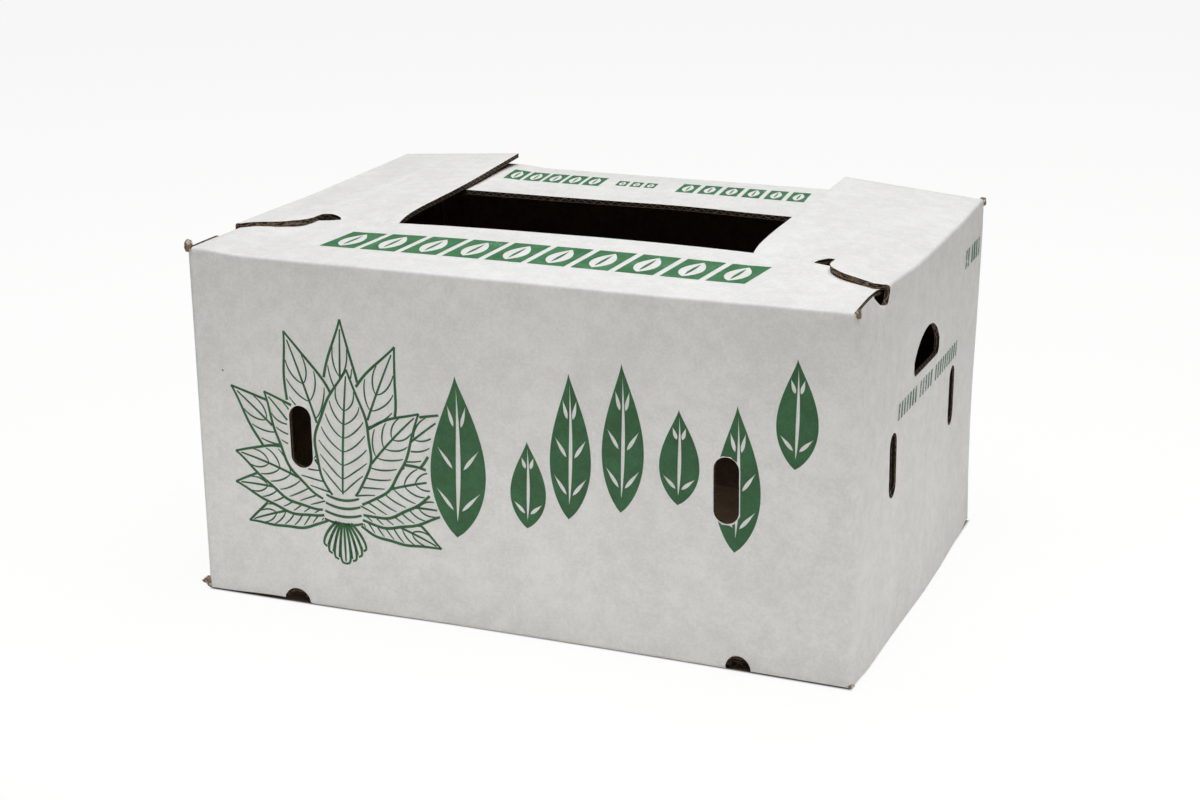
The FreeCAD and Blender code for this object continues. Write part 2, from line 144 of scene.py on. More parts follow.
class Finish:
    """A material and its nodes."""

    def __init__(self, name):
        self.material = bpy.data.materials.new(name)
        self.material.use_nodes = True
        self.tree = self.material.node_tree
        self.shader = self.tree.nodes["Principled BSDF"]

    def node(self, kind, settings=None, inputs=None, output=0):
        """A node with its settings, then its values and links. Returns one output."""
        node = self.tree.nodes.new(kind)
        for key, setting in (settings or {}).items():
            setattr(node, key, setting)
        for key, value in (inputs or {}).items():
            self.feed(node.inputs[key], value)
        return Value(self, node.outputs[output])

    def feed(self, socket, value):
        """A value or a link for one socket."""
        if isinstance(value, Value):
            self.tree.links.new(value.socket, socket)
        else:
            socket.default_value = value

    def mix(self, factor, first, second):
        """A colour between two colours."""
        return self.node("ShaderNodeMix", {"data_type": "RGBA"},
                         {0: factor, 6: first, 7: second}, output=2)

    def place(self):
        """A point on the piece, in metres."""
        return self.node("ShaderNodeTexCoord", output=3)

    def part(self, vector, axis):
        """One coordinate of a vector."""
        return self.node("ShaderNodeSeparateXYZ", None, {0: vector}, output=axis)

    def cloud(self, scale, detail, roughness):
        """Soft noise, about 0.5 in the middle. scale is in patches a metre."""
        return self.node("ShaderNodeTexNoise", {"noise_dimensions": "3D"},
                         {"Vector": self.place(), "Scale": scale, "Detail": detail,
                          "Roughness": roughness})

    def across(self):
        """How far along the flutes' wave, in flutes, and how far through the board."""
        flutes = self.node("ShaderNodeUVMap", {"uv_map": "flutes"})
        return self.part(flutes, 0), self.part(flutes, 1)

    def bump(self, height, distance, strength):
        """A surface that stands up by distance, in metres, where height is 1."""
        normal = self.node("ShaderNodeBump", None,
                           {"Height": height, "Distance": distance, "Strength": strength})
        self.feed(self.shader.inputs["Normal"], normal)

    def finish(self, **inputs):
        """Values and links of the shader, with _ for a space in a socket's name."""
        for key, value in inputs.items():
            self.feed(self.shader.inputs[key.replace("_", " ")], value)
        return self.material


# Finishes

def flute_wave(along):
    """The wave of the flutes, from -1 to 1 and back over each one."""
    return (along * (2 * math.pi)).sine()


def white_liner():
    """Bleached paper, mottled where the brown under it shows, with the flutes just felt."""
    paper = Finish("white_liner")
    fibres = paper.cloud(420, 3.0, 0.65)
    blotches = paper.cloud(75, 3.0, 0.6)
    clouds = paper.cloud(14, 2.0, 0.5)
    tone = fibres * 0.42 + blotches * 0.36 + clouds * 0.22
    colour = paper.mix(tone.between(0.34, 0.66), (0.725, 0.719, 0.703, 1), (0.848, 0.845, 0.836, 1))
    worn = paper.cloud(5, 4.0, 0.7).between(0.60, 0.80)
    colour = paper.mix(worn * 0.10, colour, (0.55, 0.53, 0.50, 1))
    along, _ = paper.across()
    washboard = flute_wave(along)
    paper.bump(fibres * 0.5 + blotches * 0.5 + washboard * 0.22, 0.00020, 0.8)
    return paper.finish(Base_Color=colour, Roughness=0.60 + fibres * 0.14)


def kraft_liner_with_painted_shade():
    """Brown paper on the inside, painted darker than plain kraft as the shade inside the box."""
    paper = Finish("kraft_liner_with_painted_shade")
    fibres = paper.cloud(380, 3.0, 0.65)
    blotches = paper.cloud(60, 2.0, 0.6)
    tone = fibres * 0.6 + blotches * 0.4
    # Both browns are darker than plain kraft: painted shade of the box's inside.
    colour = paper.mix(tone.between(0.32, 0.68), (0.075, 0.045, 0.024, 1), (0.135, 0.083, 0.046, 1))
    along, _ = paper.across()
    washboard = flute_wave(along)
    paper.bump(fibres * 0.6 + washboard * 0.35, 0.0002, 0.8)
    return paper.finish(Base_Color=colour, Roughness=0.80 + fibres * 0.1)


def cut_board():
    """The board's cut edge: two liners and the wave of paper between them, with the hollows painted
    near-black as their shade.
    """
    edge = Finish("cut_board")
    along, through = edge.across()
    wave = flute_wave(along) * 0.27 + 0.5
    flute = 1 - abs(through - wave).between(0.07, 0.17)
    liner = (1 - through.between(0.08, 0.14)).most(through.between(0.88, 0.94))
    solid = flute.most(liner)
    torn = edge.cloud(900, 2.0, 0.6)
    paper = edge.mix(torn.between(0.4, 0.6), (0.075, 0.045, 0.026, 1), (0.290, 0.190, 0.115, 1))
    # The hollows between the paper are painted near-black: painted shade.
    colour = edge.mix(solid, (0.012, 0.008, 0.005, 1), paper)
    edge.bump(solid * 0.8 + torn * 0.2, 0.0005, 0.8)
    return edge.finish(Base_Color=colour, Roughness=0.88)


def green_ink(name, strength, full, thin):
    """Ink soaked into the paper. Where it is weak, the white comes through in specks."""
    ink = Finish(name)
    fibres = ink.cloud(520, 3.0, 0.7)
    clouds = ink.cloud(60, 2.0, 0.6)
    tone = fibres * 0.55 + clouds * 0.45
    colour = ink.mix(tone.between(0.35, 0.68), full, thin)
    bare = (fibres * 0.6 + clouds * 0.4).between(strength, strength + 0.12)
    colour = ink.mix(bare, colour, (0.62, 0.66, 0.62, 1))
    ink.bump(fibres, 0.00015, 0.6)
    return ink.finish(Base_Color=colour, Roughness=0.50 + fibres * 0.15)


def pale_floor():
    """A floor that looks white but keeps the box's shadow, with a dark brown patch under the box
    painted in as shade.
    """
    floor = Finish("pale_floor")
    seen = floor.node("ShaderNodeLightPath")
    rightward = floor.part(floor.place(), 0)
    across = abs(rightward)
    along = abs(floor.part(floor.place(), 1))
    # The foot of the front wall is drawn in, most of all in its middle
    drawn_in = rightward.between(-0.19, -0.04)
    along = along + 0.0036 * drawn_in * (1 - across * across / HALF_LENGTH ** 2)
    # Under the box the floor is painted dark brown: painted shade under the box, seen through its
    # vents and below its foot.
    outside = across.between(HALF_LENGTH - BOARD, HALF_LENGTH).most(
        along.between(HALF_WIDTH - BOARD, HALF_WIDTH))
    shade = floor.mix(outside, (0.34, 0.24, 0.175, 1), (0.88, 0.865, 0.83, 1))
    floor.finish(Base_Color=shade, Roughness=0.9)
    plain = Value(floor, floor.shader.outputs[0])
    glow = floor.node("ShaderNodeEmission", None, {"Color": (1, 1, 1, 1), "Strength": 1.02})
    mixed = floor.node("ShaderNodeMixShader", None, {0: seen * outside * 0.90, 1: plain, 2: glow})
    floor.feed(floor.tree.nodes["Material Output"].inputs["Surface"], mixed)
    return floor.material


def light_world(strength):
    """An even light all round, white where the camera looks past the floor."""
    world = bpy.data.worlds.new("studio")
    world.use_nodes = True
    bpy.context.scene.world = world
    tree = world.node_tree
    backdrop = tree.nodes["Background"]
    backdrop.inputs["Strength"].default_value = strength
    backdrop.inputs["Color"].default_value = (1, 1, 1, 1)
    white = tree.nodes.new("ShaderNodeBackground")
    white.inputs["Strength"].default_value = 1.0
    white.inputs["Color"].default_value = (1, 1, 1, 1)
    seen = tree.nodes.new("ShaderNodeLightPath")
    mixed = tree.nodes.new("ShaderNodeMixShader")
    tree.links.new(seen.outputs["Is Camera Ray"], mixed.inputs[0])
    tree.links.new(backdrop.outputs[0], mixed.inputs[1])
    tree.links.new(white.outputs[0], mixed.inputs[2])
    tree.links.new(mixed.outputs[0], tree.nodes["World Output"].inputs["Surface"])


# Modelling helpers

def only(piece):
    """Select one object and make it active."""
    if bpy.context.object and bpy.context.object.mode != "OBJECT":
        bpy.ops.object.mode_set(mode="OBJECT")
    bpy.ops.object.select_all(action="DESELECT")
    piece.select_set(True)
    bpy.context.view_layer.objects.active = piece


def pick_faces(piece, wanted):
    """Select the faces for which wanted(face) is true, and go to edit mode."""
    bpy.ops.object.mode_set(mode="OBJECT")
    mesh = piece.data
    for edge in mesh.edges:
        edge.select = False
    for vertex in mesh.vertices:
        vertex.select = False
    for face in mesh.polygons:
        face.select = wanted(face)
    bpy.ops.object.mode_set(mode="EDIT")
    bpy.ops.mesh.select_mode(type="FACE")


def slice_grid(piece, normal, places):
    """Cut a mesh by parallel planes, so that it can follow a curved surface."""
    only(piece)
    bpy.ops.object.mode_set(mode="EDIT")
    for place in places:
        bpy.ops.mesh.select_all(action="SELECT")
        bpy.ops.mesh.bisect(plane_co=Vector(normal) * place, plane_no=normal)
    bpy.ops.object.mode_set(mode="OBJECT")


def steps(low, high, step):
    """Numbers from low to high."""
    return [low + step * j for j in range(int((high - low) / step + 1.5))]


# The folded sheet: how it has settled, as shifts in millimetres at places in metres

def ramp(value, start, end):
    """0 at start, 1 at end and an easy curve between. start can be the higher of the two."""
    share = min(1.0, max(0.0, (value - start) / (end - start)))
    return share * share * (3 - 2 * share)


def on_side_flap(x, y, z):
    """Whether a point near the top is on a side flap: its lip, its middle or its tucked tab."""
    above = z > 0.2889 + 0.09 * (0.275 - abs(x))
    if abs(x) > LONG_FLAP_END:
        return above
    tab = y < -LONG_FREE_EDGE and z < 0.2845 and abs(x) < 0.213
    middle = abs(y) < LONG_FREE_EDGE
    return abs(x) > SIDE_FREE_EDGE and z > FLAPS_FROM and (above or tab or middle)


def front_raise(x, y):
    """How far the front fold and its flap have crept up."""
    inner = ramp(y, -0.190, -0.071)
    fold = 3.2 - 0.9 * ramp(x, -0.15, 0.15)
    bow = 2.6 * max(0.0, 1 - (x / 0.165) ** 2)
    # The flap sinks beside the left notch and rises again to the lip
    beside_notch = (2.6 * ramp(-x, 0.226, 0.240) - 1.6) * ramp(-x, 0.19, 0.21)
    rise = fold * (1 - inner) + (bow + beside_notch) * inner
    # The left end rides on the left wall's cut top
    return rise + (6.0 - rise) * ramp(-x, 0.225, 0.270)


def back_raise(x, y):
    """How far the back fold stands up, most of all at the left."""
    fold = (7.0 - 6.0 * x) * ramp(x, 0.27, 0.15) * (1 - 0.3 * ramp(-x, 0.18, 0.28))
    fold += 2.6 * ramp(-x, 0.125, 0.160)
    sink = (0.1 + 2.2 * ramp(x, 0.03, 0.16)) * ramp(y, 0.162, 0.072)
    return 0.85 * fold * ramp(y, 0.05, 0.187) - sink


def side_flap_raise(x, y):
    """How far a side flap and its fold stand off the plain model."""
    inward = (HALF_LENGTH - abs(x)) / FLAP_DEPTH
    if x > 0:
        return (2.5 - 4.6 * inward) * ramp(y, -0.02, 0.18)
    fold = 5.3 + 14.0 * max(0.0, y)
    rear = ramp(y, -0.06, 0.10)
    front = 5.4 * ramp(inward, 0, 0.5) - 0.9 * ramp(inward, 0.5, 1)
    return fold - 8.2 * inward * rear - front * (1 - rear)


def top_raise(x, y, z):
    """How far a point goes up with the flap or the fold that it is on or under."""
    if on_side_flap(x, y, z):
        return side_flap_raise(x, y)
    rise = 0.0
    if abs(x) > LONG_FLAP_END:
        share = ramp(y, -0.130, -0.110)
        rise = front_raise(x, y) * (1 - share) + side_flap_raise(x, y) * share
    elif y > 0:
        rise = back_raise(x, y)
    elif y < -0.0700:
        rise = front_raise(x, y)
    return rise * ramp(z, 0.14, 0.28)


def left_slide(x, y, z):
    """The left edge leans inward along X, and its notch lies farther forward."""
    side = on_side_flap(x, y, z)
    across = (1.0 + 2.3 * z / 0.28) * (1.0 if side else ramp(-x, 0.20, 0.275))
    back = 0.0
    if side:
        inward = (HALF_LENGTH + x) / FLAP_DEPTH
        across -= 2.4 * ramp(inward, 0, 0.5) * ramp(y, -0.05, -0.09)
        across += (1.5 - 26.0 * y) * inward * ramp(inward, 0.55, 0.80)
    if z > FLAPS_FROM and (side or x < -LONG_FLAP_END):
        beside_notch = ramp(y, -0.150, -0.136) * ramp(y, -0.075, -0.105)
        back -= 2.5 * ramp(-x, 0.225, 0.265) * beside_notch
    return across, back


def right_slide(x, y, z):
    """The right flap leans out, and its lip lies farther forward over a crushed wall top."""
    across, back = 0.0, 0.0
    if on_side_flap(x, y, z):
        across -= 2.5 * (HALF_LENGTH - x) / FLAP_DEPTH
    elif x > 0.23 and y < -0.117:
        # The right wall's cut top is crushed in under the end of the front flap
        pinch = 0.5 + 3.6 * min(1.0, max(0.0, (y + 0.19) / 0.05))
        pinch *= ramp(x, 0.235, 0.271)
        pinch += 2.5 * min(1.0, max(0.0, (x - 0.2758) / 0.004))
        if x > LONG_FLAP_END:
            pinch *= ramp(y, -0.122, -0.134)
            notch_side = ramp(y, -0.160, -0.137) * ramp(y, -0.116, -0.136)
            back += 14.0 * ramp(z, 0.268, 0.286) * notch_side
        across -= pinch * ramp(z, 0.266, 0.286)
    if z > 0.28 and x > 0.17:
        deep = 8.0 * ramp(y, -0.16, -0.11) + 8.0 * ramp(y, -0.080, -0.045)
        lip = ramp(x, 0.17, 0.20) * ramp(x, 0.277, 0.267) * ramp(y, 0.030, -0.045)
        back -= deep * lip
    return across, back


def slide(x, y, z):
    """How far a point near the top has slid along X and Y."""
    if x < -0.15:
        return left_slide(x, y, z)
    if x > 0:
        return right_slide(x, y, z)
    return 0.0, 0.0


def wrinkle(x, y, z):
    """Slight unevenness all over. The foot stays on the floor."""
    place = Vector((x, y, z))
    shift = noise.noise_vector(place * 7.0) * 0.45 + noise.noise_vector(place * 26.0) * 0.10
    if z < 0.012:
        shift.z = 0.0
    return shift


def belly(x, y, z):
    """The walls stand out a little between their folds."""
    rise = ramp(z, 0, 0.05) * ramp(z, 0.285, 0.235)
    long_wall = ramp(abs(y), 0.170, 0.185) * (1 - (x / HALF_LENGTH) ** 2)
    side_wall = ramp(abs(x), 0.260, 0.273) * (1 - (y / HALF_WIDTH) ** 2)
    return Vector((math.copysign(0.9, x) * side_wall, math.copysign(1.1, y) * long_wall, 0)) * rise


def foot_shift(x, y, z):
    """At the foot the front is drawn in, the right side stands out and its rear corner is in."""
    low = ramp(z, 0.09, 0)
    right = ramp(x, 0.20, 0.27)
    out = 2.6 * ramp(abs(y), 0.192, 0.152) + 0.9 * ramp(y, -0.10, 0.03) * ramp(y, 0.16, 0.07)
    rear = 4.0 * ramp(y, 0, 0.18) * (1 - 0.95 * ramp(z, 0.08, 0.28)) * (0.8 + 0.2 * ramp(z, 0, 0.06))
    across = (out * low - rear) * right
    drawn_in = ramp(-y, 0.12, 0.18) * ramp(x, -0.19, -0.04) * (1 - (x / HALF_LENGTH) ** 2)
    back, up = 3.0 * low * drawn_in, 0.0
    if y < -0.187:
        # The foot vents lie farther left, and the lower left edge is lifted
        across -= 2.3 * low * ramp(abs(abs(x) - 0.214), 0.046, 0.016)
        if z < 0.02 and x < -0.2012:
            up = 1.6 * ramp(x, -0.268, -0.208) * ramp(z, 0.013, 0.003)
    return Vector((across, back, up))


def right_swell(x, y, z):
    """The right fold stands out in its middle."""
    swell = ramp(y, -0.115, -0.035) * ramp(y, 0.19, 0.10) * ramp(z, 0.20, 0.28)
    return Vector((2.2 * ramp(x, 0.250, 0.275), 0, -1.2 * ramp(x, 0.235, 0.275))) * swell


def creased(point):
    """The same point with a top fold pressed squarer than a round bend."""
    x, y, z = point
    if abs(y) > HALF_WIDTH - FOLD_RADIUS and abs(x) < 0.2756:
        axis, out, up = 1, abs(y) - HALF_WIDTH + FOLD_RADIUS, z - LONG_FOLD_TOP + FOLD_RADIUS
    else:
        axis, out, up = 0, abs(x) - HALF_LENGTH + FOLD_RADIUS, z - SIDE_FOLD_TOP + FOLD_RADIUS
    if out > 0 and up > 0 and (axis == 1 or y > -0.118):
        reach = (out ** 2 + up ** 2) ** 0.5 / (out ** 4 + up ** 4) ** 0.25 - 1
        point = Vector(point)
        point[axis] += math.copysign(out * reach, point[axis])
        point.z += up * reach
    return point


def settled(point):
    """Where a point of the flat, square model lies on the real, slightly sprung box."""
    point = Vector(creased(point))
    x, y, z = point
    shift = wrinkle(x, y, z) + belly(x, y, z) + foot_shift(x, y, z) + right_swell(x, y, z)
    shift += Vector((*slide(x, y, z), top_raise(x, y, z)))
    return point + shift * MM


def settle(piece):
    """Move every point of a piece to its settled place."""
    for vertex in piece.data.vertices:
        vertex.co = settled(vertex.co)


def flute_place(point):
    """The place along the flutes' wave: Y on the short walls and their flaps, X elsewhere."""
    x, y, z = point
    top_flap = z > 0.2835 and on_side_flap(x, y, z)
    bottom_flap = 0.0041 < z < 0.0090 and abs(x) > 0.0935
    return y if abs(x) > 0.2757 or top_flap or bottom_flap else x


def map_flutes(piece):
    """A UV map: flutes along the wave, and 0 to 1 through the board on its cut edges."""
    mesh = piece.data
    faces = {vertex.index: set() for vertex in mesh.vertices}
    for face in mesh.polygons:
        for index in face.vertices:
            faces[index].add(face.material_index)
    flutes = mesh.uv_layers.new(name="flutes")
    for face in mesh.polygons:
        centre = Vector(face.center)
        side = flute_place(centre) == centre.y
        for loop in face.loop_indices:
            index = mesh.loops[loop].vertex_index
            place = mesh.vertices[index].co
            along = (place.y if side else place.x) / FLUTE_PITCH
            if face.material_index == CUT_EDGE:
                through = 1.0 if WHITE in faces[index] else 0.0
            else:
                through = place.z / FLUTE_PITCH
            flutes.data[loop].uv = (along, through)


def paint_linked(piece, wanted, material):
    """Give a finish to the smooth surface that holds the picked faces."""
    pick_faces(piece, wanted)
    bpy.ops.mesh.faces_select_linked_flat(sharpness=math.radians(35))
    bpy.ops.object.mode_set(mode="OBJECT")
    for face in piece.data.polygons:
        if face.select:
            face.material_index = material


def faces_at(axis, place, facing, size=0.001):
    """A test for faces of a fair size that lie at a place on an axis and face that way."""
    return lambda face: (abs(face.center[axis] - place) < 0.0003
                         and face.normal[axis] * facing > 0.9 and face.area > size)


def make_box_shell(node):
    """The sheet as it shows: creased, slightly sprung, with crushed rims and cut edges."""
    shell = bpy.data.objects.new("produce_box", node.data.copy())
    bpy.context.collection.objects.link(shell)
    only(shell)
    bpy.ops.object.mode_set(mode="EDIT")
    bpy.ops.mesh.select_all(action="SELECT")
    bpy.ops.mesh.remove_doubles(threshold=0.00001)
    bpy.ops.object.mode_set(mode="OBJECT")
    shell.data.materials.clear()
    for material in (white_liner(), kraft_liner_with_painted_shade(), cut_board()):
        shell.data.materials.append(material)
    for face in shell.data.polygons:
        face.material_index = CUT_EDGE
    paint_linked(shell, faces_at(1, -HALF_WIDTH, -1), WHITE)
    paint_linked(shell, faces_at(1, BOARD - HALF_WIDTH, 1), KRAFT)
    paint_linked(shell, faces_at(2, BOTTOM_TOP, 1), KRAFT)
    # The glue lap's inner face
    paint_linked(shell, faces_at(1, HALF_WIDTH - 2 * BOARD, -1, 0.0001), KRAFT)

    pick_faces(shell, lambda face: True)
    bpy.ops.mesh.dissolve_limited(angle_limit=math.radians(0.4), delimit={"MATERIAL"})
    crush_rims(shell)
    slice_grid(shell, (1, 0, 0), steps(-0.264, 0.264, GRID))
    slice_grid(shell, (0, 1, 0), steps(-0.180, 0.180, GRID))
    slice_grid(shell, (0, 0, 1), steps(GRID, 0.276, GRID))
    map_flutes(shell)
    settle(shell)
    only(shell)
    bpy.ops.object.shade_smooth_by_angle(angle=math.radians(32))
    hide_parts("folded_box")
    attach(shell, "root")
    return shell


def crush_rims(shell):
    """Round the white face over every cut edge, as the cutting die crushes it."""
    only(shell)
    mesh = shell.data
    sides = {}
    for face in mesh.polygons:
        for key in face.edge_keys:
            sides.setdefault(key, []).append(face.material_index)
    rims = {key for key, pair in sides.items() if sorted(pair) == [WHITE, CUT_EDGE]}
    bpy.ops.object.mode_set(mode="EDIT")
    bpy.ops.mesh.select_mode(type="EDGE")
    bpy.ops.mesh.select_all(action="DESELECT")
    bpy.ops.object.mode_set(mode="OBJECT")
    for edge in mesh.edges:
        edge.select = edge.key in rims
    bpy.ops.object.mode_set(mode="EDIT")
    bpy.ops.mesh.bevel(offset=RIM, segments=2, affect="EDGES", material=WHITE, clamp_overlap=True)
    bpy.ops.object.mode_set(mode="OBJECT")


# Printing

class Leaf:
    """A drawn leaf: a bent middle rib and sides that swell and taper. Lengths are in millimetres."""

    def __init__(self, base, lean, length, half_width, bend=0.0, belly=0.42, wave=0.0):
        self.base = Vector(base)
        self.lean = math.radians(lean)
        self.length = length
        self.half_width = half_width
        self.bend = math.radians(bend)
        self.belly = belly
        self.wave = wave

    def rib(self, share):
        """A point of the middle rib, share of the way from the stalk to the tip."""
        turn = self.lean + self.bend * share * 0.5
        return self.base + Vector((math.sin(turn), math.cos(turn))) * self.length * share

    def side(self, share, way, reach=1.0):
        """A point beside the rib: reach 1 is on the leaf's edge, and way is 1 or -1."""
        turn = self.lean + self.bend * share
        fall = 0.85 * (1 - self.belly) / self.belly
        swell = (share / self.belly) ** 0.85 * ((1 - share) / (1 - self.belly)) ** fall
        swell *= 1 + self.wave * math.sin(share * 19 + way)
        out = Vector((math.cos(turn), -math.sin(turn))) * way
        return self.rib(share) + out * self.half_width * swell * reach

    def outline(self, low=0.0, high=1.0, reach=1.0, count=30):
        """The closed edge of the leaf, or of a slimmer leaf inside it."""
        shares = [low + (high - low) * j / count for j in range(count + 1)]
        if reach != 1.0 or low > 0:
            inner = Leaf(self.rib(low), math.degrees(self.lean + self.bend * low * 0.5),
                         self.length * (high - low), self.half_width * reach,
                         math.degrees(self.bend) * (high - low), self.belly)
            return inner.outline(count=count)
        up = [self.side(share, 1) for share in shares]
        down = [self.side(share, -1) for share in reversed(shares[1:-1])]
        return up + down


def inside(point, outline):
    """Whether a point lies in a closed outline."""
    x, y = point
    crossings = 0
    for (x1, y1), (x2, y2) in zip(outline, outline[1:] + outline[:1]):
        if (y1 > y) != (y2 > y) and x < x1 + (x2 - x1) * (y - y1) / (y2 - y1):
            crossings += 1
    return crossings % 2 == 1


def slot_outline(middle, half_width, half_height):
    """The edge of an upright slot with round ends."""
    x, y = middle
    reach = half_height - half_width
    points = []
    for j in range(24):
        turn = 2 * math.pi * (j + 0.5) / 24
        rise = math.copysign(reach, math.sin(turn))
        points.append((x + half_width * math.cos(turn), y + half_width * math.sin(turn) + rise))
    return points


def pen_line(points, thick, ends):
    """A pen stroke through points: (point, width), thinner at its ends."""
    count = len(points) - 1
    line = []
    for j, point in enumerate(points):
        pressure = math.sin(math.pi * (0.08 + 0.84 * j / count)) ** 0.6
        line.append((point, thick * (ends + (1 - ends) * pressure)))
    return line


def leaf_strokes(leaf, veins):
    """The outline, the rib and the side veins of one leaf."""
    shares = [j / 44 for j in range(45)]
    strokes = [pen_line([leaf.side(share, way) for share in shares], 2.5, 0.5) for way in (1, -1)]
    strokes.append(pen_line([leaf.rib(0.95 * share) for share in shares], 2.1, 0.3))
    for number in range(veins):
        start = 0.10 + 0.70 * number / veins
        for way in (1, -1):
            line = []
            for j in range(15):
                share = j / 14
                line.append(leaf.side(start + 0.15 * share ** 1.3, way, 0.86 * share ** 0.9))
            strokes.append(pen_line(line, 1.45, 0.25))
    return strokes


def visible_runs(stroke, covers):
    """The parts of a stroke that no outline in front covers."""
    runs, run = [], []
    for point, width in stroke:
        if any(inside(point, cover) for cover in covers):
            if len(run) > 2:
                runs.append(run)
            run = []
        else:
            run.append((point, width))
    if len(run) > 2:
        runs.append(run)
    return runs


def curve_to_mesh(name, curve):
    """Turn a flat drawing into a mesh piece."""
    drawing = bpy.data.objects.new(name, curve)
    bpy.context.collection.objects.link(drawing)
    only(drawing)
    bpy.ops.object.convert(target="MESH")
    return bpy.context.object


def draw_strokes(name, strokes):
    """Pen strokes as flat ribbons, drawn by a straight nib along each line."""
    nib_curve = bpy.data.curves.new("nib", "CURVE")
    nib_line = nib_curve.splines.new("POLY")
    nib_line.points.add(1)
    nib_line.points[0].co = (-0.5, 0, 0, 1)
    nib_line.points[1].co = (0.5, 0, 0, 1)
    nib = bpy.data.objects.new("nib", nib_curve)
    bpy.context.collection.objects.link(nib)
    curve = bpy.data.curves.new(name, "CURVE")
    curve.dimensions = "2D"
    curve.fill_mode = "NONE"
    curve.bevel_mode = "OBJECT"
    curve.bevel_object = nib
    for stroke in strokes:
        line = curve.splines.new("POLY")
        line.points.add(len(stroke) - 1)
        for knot, (point, width) in zip(line.points, stroke):
            knot.co = (point[0] * MM, point[1] * MM, 0, 1)
            knot.radius = width * MM
    piece = curve_to_mesh(name, curve)
    bpy.data.objects.remove(nib)
    return piece


def fill_outlines(name, outlines):
    """Filled shapes. An outline inside another cuts a hole in it."""
    curve = bpy.data.curves.new(name, "CURVE")
    curve.dimensions = "2D"
    curve.fill_mode = "BOTH"
    for outline in outlines:
        line = curve.splines.new("POLY")
        line.points.add(len(outline) - 1)
        line.use_cyclic_u = True
        for knot, point in zip(line.points, outline):
            knot.co = (point[0] * MM, point[1] * MM, 0, 1)
    return curve_to_mesh(name, curve)


def cut_out(piece, outline):
    """Take the inside of a convex outline out of a flat piece."""
    only(piece)
    bpy.ops.object.mode_set(mode="EDIT")
    for start, end in zip(outline, outline[1:] + outline[:1]):
        along = Vector(end) - Vector(start)
        bpy.ops.mesh.select_all(action="SELECT")
        bpy.ops.mesh.bisect(plane_co=(start[0] * MM, start[1] * MM, 0),
                            plane_no=(along.y, -along.x, 0))
    pick_faces(piece, lambda face: inside((face.center.x / MM, face.center.y / MM), outline))
    bpy.ops.mesh.delete(type="FACE")
    bpy.ops.object.mode_set(mode="OBJECT")


# Where a drawing stands before it is laid on each panel, and the axis that the panel faces
PANELS = {
    "front_wall": (((1, 0, 0, -HALF_LENGTH), (0, 0, -1, -0.200), (0, 1, 0, 0), (0, 0, 0, 1)), 1),
    "right_wall": (((0, 0, 1, 0.290), (1, 0, 0, -HALF_WIDTH), (0, 1, 0, 0), (0, 0, 0, 1)), 0),
    "top": (((1, 0, 0, -HALF_LENGTH), (0, 1, 0, -HALF_WIDTH), (0, 0, 1, 0.330), (0, 0, 0, 1)), 2),
}


def print_on(piece, panel, shell, ink):
    """Lay a flat print on a wall or flap of the box, a hair above its paper."""
    rows, facing = PANELS[panel]
    # The front wall faces down its axis, the others up theirs
    inward = 1 if facing == 1 else -1
    piece.data.transform(Matrix(rows))
    for axis in range(3):
        if axis != facing:
            normal = [0, 0, 0]
            normal[axis] = 1
            reach = 0.276 if axis != 1 else 0.180
            slice_grid(piece, normal, steps(-reach if axis < 2 else GRID, reach, GRID))
    only(piece)
    wrap = piece.modifiers.new("lay_on_paper", "SHRINKWRAP")
    wrap.target = shell
    wrap.wrap_method = "PROJECT"
    setattr(wrap, "use_project_" + "xyz"[facing], True)
    wrap.use_negative_direction = inward < 0
    wrap.use_positive_direction = inward > 0
    bpy.ops.object.modifier_apply(modifier=wrap.name)
    lift = [0, 0, 0]
    lift[facing] = -INK_LIFT * inward
    piece.data.transform(Matrix.Translation(lift))
    piece.data.materials.clear()
    piece.data.materials.append(ink)
    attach(piece, "root")


FRONT_VENTS = [slot_outline((across, 146), 11.0, 27.0) for across in (99.5, 460.5)]


def leaf_row():
    """The seven leaves of the row, with how many pairs of veins each has."""
    row = [(240, 79, 212, 24, 3), (301, 95, 166, 15, 2), (336, 107, 224, 17, 3),
           (379, 118, 236, 17, 3), (425, 130, 205, 16, 2), (470, 98, 213, 18, 3),
           (516, 169, 253, 16, 2)]
    return [(Leaf((across - 3, low), 4, high - low, half_width, -6, belly=0.40), pairs)
            for across, low, high, half_width, pairs in row]


def draw_leaf_bunch():
    """A tied bunch of pointed leaves in line, the front ones hiding the ones behind."""
    knot = (135, 92)
    fan = [(2, 116, 25, 5), (-30, 112, 24, -14), (32, 112, 24, 16), (-60, 104, 22, -20),
           (61, 103, 22, 20), (-15, 149, 25, -6), (17, 148, 25, 8), (-42, 134, 24, -10),
           (42, 133, 24, 12), (-78, 100, 19, -14), (79, 99, 19, 14), (1, 156, 20, 2),
           (-97, 92, 16, -16), (98, 91, 16, 16)]
    leaves = [Leaf(knot, lean, length, half_width, bend, wave=0.035)
              for lean, length, half_width, bend in fan]
    first_of_row = leaf_row()[0][0]
    first_of_row.half_width += 2.5
    band = [(117, 78), (153, 78), (150, 100), (120, 100)]
    covers = [first_of_row.outline(), FRONT_VENTS[0], band]
    strokes = []
    for height in (100, 93, 86, 79):
        half = 15.0 + (100 - height) * 0.12
        points = [Vector((135 + half * j / 9, height - 3.2 * (1 - (j / 9) ** 2)))
                  for j in range(-9, 10)]
        strokes.append(pen_line(points, 2.4, 0.6))
    for lean in (0, -13, 13, -27, 27, -42, 42):
        stalk = Leaf((135, 82), 180 - lean, 40 - abs(lean) * 0.2, 4.6, lean * 0.5, belly=0.75)
        for stroke in leaf_strokes(stalk, 0):
            strokes += visible_runs(stroke, covers)
        covers.append(stalk.outline())
    for leaf in leaves:
        for stroke in leaf_strokes(leaf, 7):
            strokes += visible_runs(stroke, covers)
        covers.append(leaf.outline())
    return draw_strokes("leaf_bunch_print", strokes)


